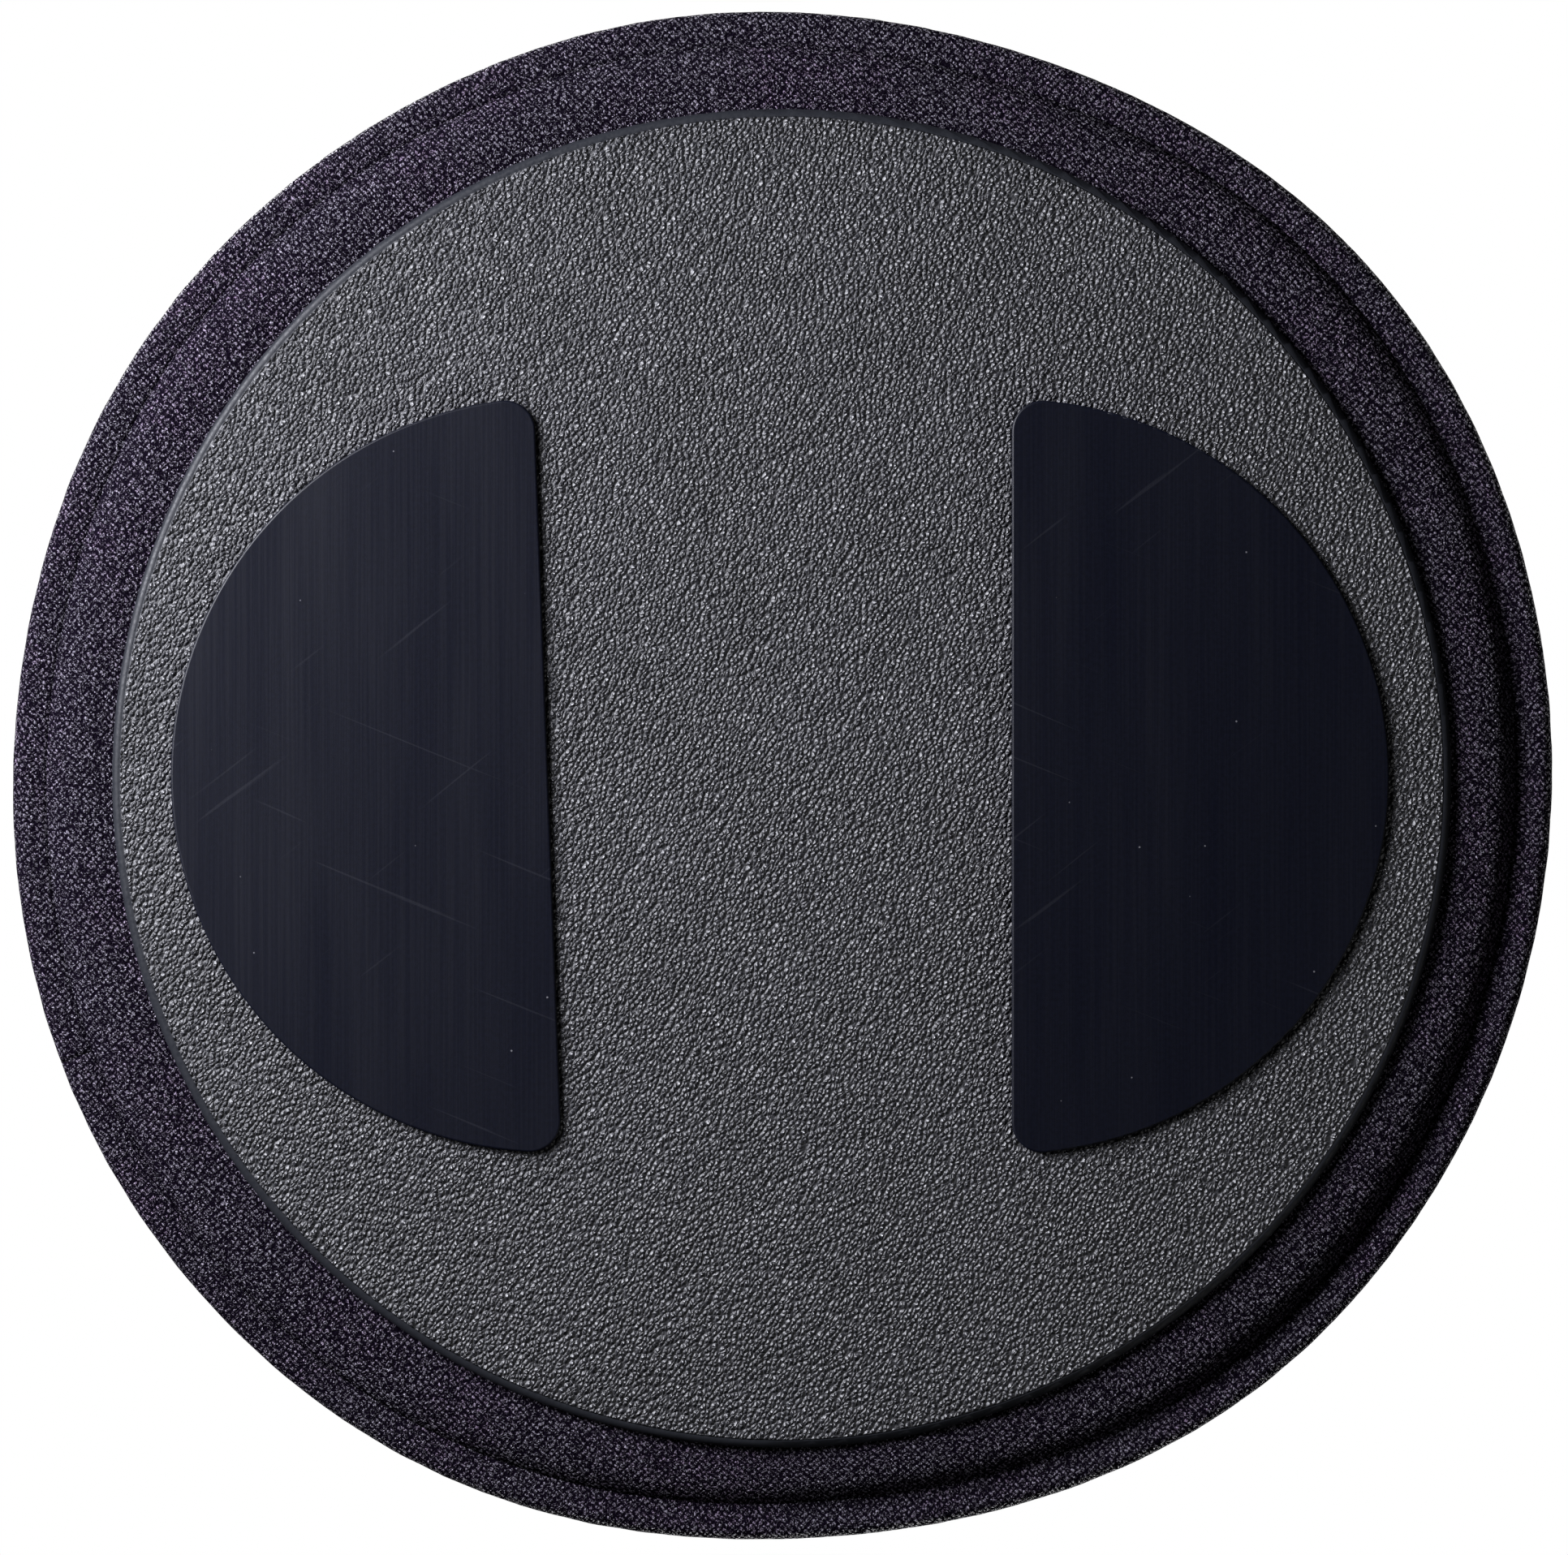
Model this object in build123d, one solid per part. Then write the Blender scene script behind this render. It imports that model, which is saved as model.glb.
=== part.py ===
from build123d import *
import math
import os

# Swivel seat cushion: a round foam pad in a fabric cover that turns on a flat plastic turntable.
# Millimetres, +Z up. The origin is the centre of the grip pads' lower face, on the seat.
# The front is -Y and the cover's zip is at the back, +Y.

# Cushion cover
CUSHION_RADIUS = 195.0
CUSHION_HEIGHT = 52.0
FABRIC = 1.0
PUFF_START_RADIUS = 160.0
PUFF_RADIUS = 175.0
PUFF_Z = 5.5
LOWER_SEAM_RADIUS = 184.0
LOWER_SEAM_Z = 10.0
UPPER_SEAM_RADIUS = 186.0
UPPER_SEAM_Z = 45.0
BAND_MID_Z = 27.5
LOWER_ROLL = 7.0
UPPER_ROLL = 6.0
SHOULDER_ROLL = 5.0
FOAM_SPLIT_Z = 36.0

# Grip pads: two D shapes under the base plate
GRIP_RADIUS = 94.0
GRIP_CORNER = 7.7
GRIP_THICK = 1.3
GRIP_EDGE = 0.6
GRIP_TURN = -2.1
LEFT_GRIP_AT = (-58.1, -0.8)
RIGHT_GRIP_AT = (57.3, -0.4)
FILM_THICK = 0.2
FILM_INSET = 1.5

# Turntable
BASE_RADIUS = 167.0
PLATE_THICK = 2.5
BASE_LOWER_EDGE = 1.8
BASE_UPPER_EDGE = 0.5
TURNTABLE_RADIUS = 157.0
GLIDE_RADII = {"inner": 60.0, "outer": 145.0}
GLIDE_WIDTH = 8.0
GLIDE_THICK = 1.2
GLIDE_RECESS = 0.4
GLIDE_GAP = 0.05

# Pivot
SPIGOT_RADIUS = 12.0
SPIGOT_BORE_FLOOR = 1.0
BUSH_CLEARANCE = 0.08
BUSH_WALL = 2.0
BUSH_FLANGE_RADIUS = 17.0
BUSH_FLANGE_THICK = 0.8
HUB_RADIUS = 22.0
HUB_HEIGHT = 1.25
AXIAL_PLAY = 0.1
WASHER_RADIUS = 19.0
WASHER_THICK = 1.5
PIVOT_SCREW_RADIUS = 2.5
PIVOT_HEAD_RADIUS = 5.0
PIVOT_HEAD_HEIGHT = 2.6
DRIVE_WIDTH = 1.1
DRIVE_LENGTH = 5.0
DRIVE_DEPTH = 1.4

# Board and its fixings
BOARD_RADIUS = 157.0
BOARD_THICK = 3.0
CENTRE_HOLE_RADIUS = 26.0
FIXING_COUNT = 8
FIXING_CIRCLE_RADIUS = 120.0
FIXING_RADIUS = 2.0
FIXING_HEAD_RADIUS = 4.0
FIXING_GAP = 0.05
TEE_BARREL_RADIUS = 2.9
TEE_FLANGE_RADIUS = 8.0
TEE_FLANGE_THICK = 1.0

# Zip, along the back of the side band
ZIP_START = 22.0
ZIP_END = 158.0
ZIP_OVERLAP = 1.2
ZIP_Z = 36.5
ZIP_SLIT = 4.6
COIL_GAP = 0.5
COIL_WIDTH = 2.2
COIL_THICK = 1.5
COIL_ROUND = 0.6
TAPE_THICK = 0.5
TAPE_WIDTH = 7.5
STOP_ANGLE = 0.7
STOP_PROUD = 0.1
FOAM_GAP = 0.2

# Zip slider and pull
SLIDER_ANGLE = 3.4
SLIDER_PARK = 0.2
SLIDER_WING = 0.8
SLIDER_HALF_WIDTH = 4.2
SLIDER_INNER_HALF = 2.4
SLIDER_FLANGE = 0.8
SLIDER_GAP = 0.2
SLIDER_POST = 0.35
SLIDER_POST_ANGLE = 0.7
BAIL_SPAN = 5.4
BAIL_WIDTH = 2.6
BAIL_STRIP = 0.8
PULL_PIN_RADIUS = 0.55
PULL_PIN_GAP = 0.08
PULL_INNER_HALF = 1.6
PULL_OUTER_HALF = 2.9
PULL_THICK = 1.0
PULL_NECK = 6.0
PULL_LENGTH = 17.0
PULL_TIP_ROUND = 2.2
PULL_HOLE_RADIUS = 1.2
PULL_REST_TILT = 2.0

# Heights that follow from the stack
base_bottom = GRIP_THICK + FILM_THICK
base_top = base_bottom + PLATE_THICK
glide_top = base_top - GLIDE_RECESS + GLIDE_THICK
turntable_bottom = glide_top + GLIDE_GAP
turntable_top = turntable_bottom + PLATE_THICK
board_bottom = turntable_top + FABRIC
board_top = board_bottom + BOARD_THICK
hub_top = turntable_top + HUB_HEIGHT
bush_top = hub_top + BUSH_FLANGE_THICK
spigot_top = bush_top + AXIAL_PLAY
washer_top = spigot_top + WASHER_THICK
bush_inner = SPIGOT_RADIUS + BUSH_CLEARANCE
bush_outer = bush_inner + BUSH_WALL

# Depths through the zip, measured outwards from the outer face of its tape
slider_inner = -TAPE_THICK - SLIDER_GAP - SLIDER_WING
slider_face = COIL_THICK + STOP_PROUD + SLIDER_GAP
bail_base = slider_face + SLIDER_WING
pull_axis = bail_base + PULL_PIN_GAP + PULL_PIN_RADIUS
slider_azimuth = ZIP_END - SLIDER_ANGLE / 2 - SLIDER_PARK


def ring(inner, outer, bottom, top):
    """A flat ring about the Z axis."""
    return Pos(0, 0, bottom) * extrude(Circle(outer) - Circle(inner), top - bottom)


def disc(radius, bottom, top):
    """A flat disc about the Z axis."""
    return Pos(0, 0, bottom) * extrude(Circle(radius), top - bottom)


def turned(profile, start=0.0, sweep=360.0):
    """Sweeps a profile, drawn as radius and height, about the Z axis from one azimuth."""
    solid = revolve(Plane.XZ * profile, Axis.Z, revolution_arc=sweep)
    return Rot(0, 0, start) * solid


def long_arc_radius(across, along, corner):
    """The long arc of a quarter oval whose corner arc is given."""
    return (across**2 + along**2 - 2 * along * corner) / (2 * (across - corner))


def zip_section():
    """The zip's place on the upper side of the band: its centre on the tape and the lean of the band."""
    across = CUSHION_RADIUS - UPPER_SEAM_RADIUS
    bulge = long_arc_radius(across, UPPER_SEAM_Z - BAND_MID_Z, UPPER_ROLL)
    lean = math.asin((ZIP_Z - BAND_MID_Z) / bulge)
    radius = CUSHION_RADIUS - bulge + (bulge - FABRIC) * math.cos(lean)
    height = BAND_MID_Z + (bulge - FABRIC) * math.sin(lean)
    return radius, height, math.degrees(lean)


def in_zip_section(low, high, inner, outer):
    """A rectangle across the zip: heights along the band, depths outwards from the tape."""
    radius, height, lean = zip_section()
    middle = Pos((inner + outer) / 2, (low + high) / 2)
    return Pos(radius, height) * Rot(0, 0, lean) * middle * Rectangle(outer - inner, high - low)


def zip_block(inner, outer, low, high, start, sweep):
    """A length of the zip with a rectangular section."""
    return turned(in_zip_section(low, high, inner, outer), start, sweep)


def band_of(low, high):
    """The half plane strip of profile between two heights."""
    width = CUSHION_RADIUS * 1.2
    return Pos(width / 2, (low + high) / 2) * Rectangle(width, high - low)


def on_fixing_circle(shape):
    """Copies of one fixing around the board."""
    step = 360.0 / FIXING_COUNT
    places = [Rot(0, 0, (i + 0.5) * step) * Pos(FIXING_CIRCLE_RADIUS, 0, 0) for i in range(FIXING_COUNT)]
    return [place * shape for place in places]


def corner_turn(across, along, corner):
    """How far a corner arc turns before it meets the long arc of a quarter oval, in degrees."""
    reach = long_arc_radius(across, along, corner) - across
    return 90 - math.degrees(math.atan2(along - corner, reach))


def roll_to_widest(seam, corner, way):
    """From a seam out to the widest point of the side band. Way is +1 from the lower seam."""
    widest = (CUSHION_RADIUS, BAND_MID_Z)
    turn = corner_turn(CUSHION_RADIUS - seam[0], abs(BAND_MID_Z - seam[1]), corner)
    roll = JernArc(seam, (1, 0), corner, way * turn)
    return [roll, TangentArc(roll @ 1, widest, tangent=roll % 1)]


def cover_contour():
    """The cushion's outer section: flat under the board, puffed to the seams, plump at the side.
    It runs past the axis, so that it can be moved inwards evenly."""
    upper_seam = (UPPER_SEAM_RADIUS, UPPER_SEAM_Z)
    turn = corner_turn(CUSHION_HEIGHT - UPPER_SEAM_Z, UPPER_SEAM_RADIUS, SHOULDER_ROLL)
    shoulder = JernArc(upper_seam, (0, 1), SHOULDER_ROLL, turn)
    rim = shoulder @ 1
    dome = ThreePointArc(rim, (0, CUSHION_HEIGHT), (-rim.X, rim.Y))
    flat = Line((-rim.X, turntable_top), (PUFF_START_RADIUS, turntable_top))
    puff = ThreePointArc(flat @ 1, (PUFF_RADIUS, PUFF_Z), (LOWER_SEAM_RADIUS, LOWER_SEAM_Z))
    lower_side = roll_to_widest((LOWER_SEAM_RADIUS, LOWER_SEAM_Z), LOWER_ROLL, 1)
    upper_side = roll_to_widest(upper_seam, UPPER_ROLL, -1)
    closing = Line(dome @ 1, flat @ 0)
    return make_face([flat, puff, *lower_side, *upper_side, shoulder, dome, closing])


def inside(contour, depth=0.0):
    """The contour moved inwards by a depth and cut at the axis."""
    moved = offset(contour, -depth, kind=Kind.ARC) if depth else contour
    return make_face(moved.edges()) & band_of(-CUSHION_RADIUS, CUSHION_RADIUS)


def region(*corners):
    """A straight-sided area of the section."""
    return make_face(Polyline(*corners, close=True))


def panel_regions():
    """Where the section divides into the bottom panel, the side band and the top panel."""
    far = CUSHION_RADIUS / 2
    below = (LOWER_SEAM_RADIUS, 0)
    within = (LOWER_SEAM_RADIUS, BAND_MID_Z)
    upper_outer = (UPPER_SEAM_RADIUS + far, UPPER_SEAM_Z + far)
    upper_inner = (UPPER_SEAM_RADIUS - BAND_MID_Z / 2, UPPER_SEAM_Z - BAND_MID_Z / 2)
    axis_low = (0, upper_inner[1])
    bottom = region((0, 0), below, within, (0, BAND_MID_Z))
    side = region(below, (upper_outer[0], 0), upper_outer, upper_inner, within)
    top = region(axis_low, upper_inner, upper_outer, (0, upper_outer[1]))
    return bottom, side, top


def make_grip(place, turn, side):
    """One D-shaped pad and the adhesive film above it. Side is +1 when the round edge faces +X."""
    half_plane = Pos(side * GRIP_RADIUS, 0) * Rectangle(2 * GRIP_RADIUS, 2 * GRIP_RADIUS)
    half = Circle(GRIP_RADIUS) & half_plane
    outline = fillet(half.vertices(), GRIP_CORNER)
    pad = extrude(outline, GRIP_THICK)
    pad = fillet(pad.faces().sort_by(Axis.Z)[0].edges(), GRIP_EDGE)
    film = Pos(0, 0, GRIP_THICK) * extrude(offset(outline, -FILM_INSET), FILM_THICK)
    location = Pos(place[0], place[1], 0) * Rot(0, 0, turn)
    return location * pad, location * film


def make_base_plate():
    """The grained lower disc with the spigot that it all turns on and recesses for the glide rings."""
    plate = disc(BASE_RADIUS, base_bottom, base_top)
    rims = plate.edges().sort_by(Axis.Z)
    plate = fillet(rims[0], BASE_LOWER_EDGE)
    plate = fillet(plate.edges().filter_by(GeomType.CIRCLE).sort_by(Axis.Z)[-1], BASE_UPPER_EDGE)
    for radius in GLIDE_RADII.values():
        plate -= ring(radius - GLIDE_WIDTH / 2, radius + GLIDE_WIDTH / 2, base_top - GLIDE_RECESS, base_top)
    plate += disc(SPIGOT_RADIUS, base_top, spigot_top)
    return plate - disc(PIVOT_SCREW_RADIUS, base_bottom + SPIGOT_BORE_FLOOR, spigot_top)


def make_glide_ring(radius):
    """A low-friction ring pressed in the base plate's recess."""
    return ring(radius - GLIDE_WIDTH / 2, radius + GLIDE_WIDTH / 2, base_top - GLIDE_RECESS, glide_top)


def make_pivot_screw():
    """A pan head screw in the spigot, with a cross recess."""
    tip = base_bottom + SPIGOT_BORE_FLOOR + PIVOT_SCREW_RADIUS / 2
    shank = disc(PIVOT_SCREW_RADIUS, tip, washer_top)
    point = Pos(0, 0, tip - PIVOT_SCREW_RADIUS / 4) * Cone(
        PIVOT_SCREW_RADIUS / 3, PIVOT_SCREW_RADIUS, PIVOT_SCREW_RADIUS / 2
    )
    head = disc(PIVOT_HEAD_RADIUS, washer_top, washer_top + PIVOT_HEAD_HEIGHT)
    head = fillet(head.edges().sort_by(Axis.Z)[-1], PIVOT_HEAD_HEIGHT / 2)
    drive_z = washer_top + PIVOT_HEAD_HEIGHT - DRIVE_DEPTH / 2
    for turn in (0, 90):
        head -= Pos(0, 0, drive_z) * Rot(0, 0, turn) * Box(DRIVE_LENGTH, DRIVE_WIDTH, DRIVE_DEPTH)
    return shank + point + head


def make_turntable_plate():
    """The upper disc with its hub collar and countersunk holes."""
    plate = disc(TURNTABLE_RADIUS, turntable_bottom, turntable_top)
    plate = chamfer(plate.edges().filter_by(GeomType.CIRCLE), BASE_UPPER_EDGE)
    plate += disc(HUB_RADIUS, turntable_top, hub_top)
    plate -= disc(bush_outer, turntable_bottom, hub_top)
    rise = FIXING_HEAD_RADIUS - FIXING_RADIUS
    sink = Pos(0, 0, turntable_bottom + rise / 2) * Cone(
        FIXING_HEAD_RADIUS + FIXING_GAP, FIXING_RADIUS + FIXING_GAP, rise
    )
    hole = disc(FIXING_RADIUS + FIXING_GAP, turntable_bottom, turntable_top)
    for cut in on_fixing_circle(sink + hole):
        plate -= cut
    return plate


def make_hub_bush():
    """The flanged bush pressed in the turntable plate."""
    tube = ring(bush_inner, bush_outer, turntable_bottom, bush_top)
    return tube + ring(bush_outer, BUSH_FLANGE_RADIUS, hub_top, bush_top)


def make_board():
    """The plywood disc with counterbored holes for the tee nuts."""
    board = ring(CENTRE_HOLE_RADIUS, BOARD_RADIUS, board_bottom, board_top)
    hole = disc(TEE_BARREL_RADIUS + FIXING_GAP, board_bottom, board_top)
    counterbore = disc(TEE_FLANGE_RADIUS + FIXING_GAP, board_top - TEE_FLANGE_THICK, board_top)
    for cut in on_fixing_circle(hole + counterbore):
        board -= cut
    return board


def make_clamp_screws():
    """Countersunk screws from the turntable plate up into the tee nuts."""
    rise = FIXING_HEAD_RADIUS - FIXING_RADIUS
    head = Pos(0, 0, turntable_bottom + rise / 2) * Cone(FIXING_HEAD_RADIUS, FIXING_RADIUS, rise)
    shank = disc(FIXING_RADIUS, turntable_bottom + rise, board_top - TEE_FLANGE_THICK / 2)
    drive = Pos(0, 0, turntable_bottom + DRIVE_WIDTH / 2)
    screw = head + shank
    for turn in (0, 90):
        screw -= drive * Rot(0, 0, turn) * Box(FIXING_HEAD_RADIUS, DRIVE_WIDTH, DRIVE_WIDTH)
    return on_fixing_circle(screw)


def make_tee_nuts():
    """Flanged nuts let into the board."""
    inner = FIXING_RADIUS + FIXING_GAP
    barrel = ring(inner, TEE_BARREL_RADIUS, board_bottom + FIXING_GAP, board_top)
    flange = ring(inner, TEE_FLANGE_RADIUS, board_top - TEE_FLANGE_THICK, board_top)
    return on_fixing_circle(barrel + flange)


def make_bottom_panel(skin):
    """The cover's lower panel, clamped under the board and puffed out to the lower seam."""
    panel = turned(skin) - disc(CENTRE_HOLE_RADIUS, 0, LOWER_SEAM_Z)
    for cut in on_fixing_circle(disc(FIXING_RADIUS + FIXING_GAP, 0, board_bottom)):
        panel -= cut
    return panel


def zip_groove():
    """The room that the slider's inner wing runs in, pressed into the foam."""
    half_width = SLIDER_INNER_HALF + SLIDER_GAP
    sweep = ZIP_END - ZIP_START + 2 * STOP_ANGLE
    inner = slider_inner - SLIDER_GAP
    return zip_block(inner, COIL_THICK, -half_width, half_width, ZIP_START - STOP_ANGLE, sweep)


def make_foam(contour):
    """The firm core, with a pocket over the pivot, and the softer layer on top of it."""
    filling = turned(inside(contour, FABRIC + TAPE_THICK + FOAM_GAP))
    filling -= disc(BOARD_RADIUS + FOAM_GAP, 0, board_top)
    filling -= disc(CENTRE_HOLE_RADIUS, 0, washer_top + PIVOT_HEAD_HEIGHT + FABRIC)
    filling -= zip_groove()
    split = disc(2 * CUSHION_RADIUS, -CUSHION_HEIGHT, FOAM_SPLIT_Z)
    return filling & split, filling - split


def make_tape(skin, low, high):
    """One zip tape behind the band."""
    strip = skin & in_zip_section(low, high, -ZIP_SLIT, ZIP_SLIT)
    return turned(strip, ZIP_START - ZIP_OVERLAP, ZIP_END - ZIP_START + 2 * ZIP_OVERLAP)


def make_coil(direction):
    """One side of the zip's coil, sewn to the face of its tape."""
    radius, height, lean = zip_section()
    at = Pos(COIL_THICK / 2, direction * (COIL_GAP + COIL_WIDTH / 2))
    section = at * RectangleRounded(COIL_THICK, COIL_WIDTH, COIL_ROUND)
    return turned(Pos(radius, height) * Rot(0, 0, lean) * section, ZIP_START, ZIP_END - ZIP_START)


def make_slider():
    """Two wings joined by the post between the coils, with side flanges and the bail on top."""
    first = slider_azimuth - SLIDER_ANGLE / 2
    last = slider_azimuth + SLIDER_ANGLE / 2
    half = SLIDER_HALF_WIDTH
    inner_half = SLIDER_INNER_HALF
    flange = half - SLIDER_FLANGE
    slider = zip_block(slider_face, bail_base, -half, half, first, SLIDER_ANGLE)
    slider += zip_block(
        slider_inner, slider_inner + SLIDER_WING, -inner_half, inner_half, first, SLIDER_ANGLE
    )
    slider += zip_block(SLIDER_GAP, slider_face, -half, -flange, first, SLIDER_ANGLE)
    slider += zip_block(SLIDER_GAP, slider_face, flange, half, first, SLIDER_ANGLE)
    slider += zip_block(
        slider_inner, bail_base, -SLIDER_POST, SLIDER_POST, last - SLIDER_POST_ANGLE, SLIDER_POST_ANGLE
    )
    window_height = 2 * (PULL_PIN_RADIUS + PULL_PIN_GAP)
    arch = Rectangle(BAIL_SPAN, 2 * (window_height + BAIL_STRIP))
    window = Rectangle(BAIL_SPAN - 2 * BAIL_STRIP, 2 * window_height)
    arch = fillet(arch.vertices(), BAIL_STRIP) - fillet(window.vertices(), BAIL_STRIP / 3)
    above_wing = Pos(0, BAIL_SPAN) * Rectangle(2 * BAIL_SPAN, 2 * BAIL_SPAN + SLIDER_WING)
    bail = extrude(arch & above_wing, BAIL_WIDTH / 2, both=True)
    return slider + on_slider(bail_base) * bail


def on_slider(depth):
    """A frame on the slider: X along the zip, Y outwards through it, Z up along the band."""
    radius, height, lean = zip_section()
    to_zip = Rot(0, 0, slider_azimuth - 90) * Pos(0, radius, height) * Rot(lean, 0, 0)
    return to_zip * Pos(0, depth, 0)


def make_pull():
    """The tab and the pin that it hangs on the bail by."""
    outline = Pos(PULL_LENGTH / 2, 0) * Rectangle(PULL_LENGTH, 2 * PULL_OUTER_HALF)
    tip = outline.vertices().sort_by(Axis.X)[-2:]
    outline = fillet(tip, PULL_TIP_ROUND)
    outline -= Pos(PULL_NECK / 2 - 0.01, 0) * Rectangle(PULL_NECK, 2 * PULL_INNER_HALF)
    outline -= Pos(PULL_LENGTH - PULL_OUTER_HALF, 0) * Circle(PULL_HOLE_RADIUS)
    tab = extrude(outline, PULL_THICK / 2, both=True)
    pin = Cylinder(PULL_PIN_RADIUS, 2 * PULL_OUTER_HALF)
    pull = Rot(90, 0, 0) * tab + pin
    return on_slider(pull_axis) * Rot(0, 0, -PULL_REST_TILT) * pull


def main():
    parts = {}
    parts["grip_pad_left"], parts["grip_film_left"] = make_grip(LEFT_GRIP_AT, GRIP_TURN, -1)
    parts["grip_pad_right"], parts["grip_film_right"] = make_grip(RIGHT_GRIP_AT, 0.0, 1)
    parts["base_plate"] = make_base_plate()
    for name, radius in GLIDE_RADII.items():
        parts[f"glide_ring_{name}"] = make_glide_ring(radius)
    parts["retaining_washer"] = ring(PIVOT_SCREW_RADIUS, WASHER_RADIUS, spigot_top, washer_top)
    parts["pivot_screw"] = make_pivot_screw()

    parts["turntable_plate"] = make_turntable_plate()
    parts["hub_bush"] = make_hub_bush()
    parts["stiffener_board"] = make_board()
    parts["clamp_screws"] = Compound(children=make_clamp_screws())
    parts["tee_nuts"] = Compound(children=make_tee_nuts())

    contour = cover_contour()
    lining = inside(contour, FABRIC)
    skin = inside(contour) - lining
    tape_skin = lining - inside(contour, FABRIC + TAPE_THICK)
    bottom_region, side_region, top_region = panel_regions()
    parts["bottom_panel"] = make_bottom_panel(skin & bottom_region)
    side = skin & side_region
    zip_sweep = ZIP_END - ZIP_START + 2 * STOP_ANGLE
    band_start = ZIP_END + STOP_ANGLE
    parts["side_band"] = turned(side, band_start, 360 - zip_sweep)
    zip_strips = side - in_zip_section(-ZIP_SLIT, ZIP_SLIT, -ZIP_SLIT, ZIP_SLIT)
    zip_lower, zip_upper = zip_strips.faces().sort_by(Axis.Y)
    parts["zip_band_lower"] = turned(zip_lower, ZIP_START - STOP_ANGLE, zip_sweep)
    parts["zip_band_upper"] = turned(zip_upper, ZIP_START - STOP_ANGLE, zip_sweep)
    parts["top_panel"] = turned(skin & top_region)
    parts["foam_core"], parts["comfort_foam"] = make_foam(contour)

    coil_edge = COIL_GAP + COIL_WIDTH
    tape_edge = COIL_GAP + TAPE_WIDTH
    stop_face = COIL_THICK + STOP_PROUD
    parts["zip_tape_upper"] = make_tape(tape_skin, COIL_GAP, tape_edge)
    parts["zip_tape_lower"] = make_tape(tape_skin, -tape_edge, -COIL_GAP)
    parts["zip_coil_upper"] = make_coil(1)
    parts["zip_coil_lower"] = make_coil(-1)
    upper_stop = zip_block(0, stop_face, COIL_GAP, coil_edge, ZIP_END, STOP_ANGLE)
    lower_stop = zip_block(0, stop_face, -coil_edge, -COIL_GAP, ZIP_END, STOP_ANGLE)
    end_stop = zip_block(0, stop_face, -coil_edge, coil_edge, ZIP_START - STOP_ANGLE, STOP_ANGLE)
    parts["zip_top_stops"] = Compound(children=[upper_stop, lower_stop])
    parts["zip_bottom_stop"] = end_stop
    parts["zip_slider"] = make_slider()
    parts["zip_pull"] = make_pull()

    os.makedirs("parts", exist_ok=True)
    for name, shape in parts.items():
        export_step(shape, f"parts/{name}.step")


main()
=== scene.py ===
import math

import bpy
import numpy as np
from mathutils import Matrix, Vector


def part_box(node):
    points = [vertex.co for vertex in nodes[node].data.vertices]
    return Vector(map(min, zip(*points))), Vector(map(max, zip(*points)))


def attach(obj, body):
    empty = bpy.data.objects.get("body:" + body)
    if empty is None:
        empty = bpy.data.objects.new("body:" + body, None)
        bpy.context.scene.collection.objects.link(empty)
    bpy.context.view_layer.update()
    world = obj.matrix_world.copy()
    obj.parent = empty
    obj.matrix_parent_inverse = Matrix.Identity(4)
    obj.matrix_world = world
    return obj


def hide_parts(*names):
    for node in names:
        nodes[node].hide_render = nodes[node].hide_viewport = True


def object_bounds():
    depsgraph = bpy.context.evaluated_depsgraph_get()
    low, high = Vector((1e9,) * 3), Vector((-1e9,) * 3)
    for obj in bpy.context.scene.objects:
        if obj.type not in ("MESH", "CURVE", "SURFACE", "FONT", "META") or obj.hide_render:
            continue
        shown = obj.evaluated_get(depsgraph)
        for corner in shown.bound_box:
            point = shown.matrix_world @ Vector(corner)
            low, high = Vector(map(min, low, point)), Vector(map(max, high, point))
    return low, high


# Swivel seat cushion: the fabric cover, the foam and the zip are built here around the CAD frame,
# and every CAD part gets its own procedural material. Metres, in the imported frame's axes, with the
# underside at height 0 and the zip at the back, round +Y.
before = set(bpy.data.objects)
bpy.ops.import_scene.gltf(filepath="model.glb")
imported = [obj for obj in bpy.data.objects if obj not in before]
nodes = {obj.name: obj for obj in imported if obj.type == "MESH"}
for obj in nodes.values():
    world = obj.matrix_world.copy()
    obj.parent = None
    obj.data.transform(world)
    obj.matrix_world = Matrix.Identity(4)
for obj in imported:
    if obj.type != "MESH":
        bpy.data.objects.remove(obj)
cad_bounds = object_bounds()
MM = 0.001
rng = np.random.default_rng(11)

# The cloth, and how far its edges turn in at a seam and at the zip's slit
FABRIC = 0.9 * MM
SEAM_TUCK = 2.6 * MM
SLIT_TUCK = 1.6 * MM

# The cover's section, as radii and heights
HOLE_RADIUS = 27 * MM
LOW_SEAM_BEYOND = 0.4 * MM
LOW_SEAM_HEIGHT = 6.5 * MM
ROLL_TOP = 14 * MM
RIM_RADIUS = 170 * MM
RIM_HEIGHT = 50.8 * MM
CENTRE_RADIUS = 4 * MM

# The cover's grid: columns all round, columns the zip spans, and rows between the seams
COLUMNS = 600
ZIP_FIRST_COLUMN = 36
ZIP_LAST_COLUMN = 264
ROWS_TO_SLIT = 24
ROWS_OF_SLIT = 5
ROWS_TO_TOP = 5

# Waves in the outline: how many round the cushion, millimetres high, and the azimuth of a crest
OUTLINE = ((2, 0.9, -18.0), (3, 0.36, 6.0), (4, 1.12, -42.0), (5, 0.46, -28.0), (7, 0.36, 7.0))

# Puckers beside the seams, and the slack groove that is deepest at one azimuth
PUCKER = 0.17 * MM
PUCKER_REACH = 5.0 * MM
GROOVE_DEPTH = 2.1 * MM
GROOVE_WIDTH = 3.6 * MM
GROOVE_AZIMUTH = 30.0

# The settling of the cloth
CLOTH_FRAMES = 20
CLOTH_CAP = 2.2 * MM
CLOTH_SPREAD = 4

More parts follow.
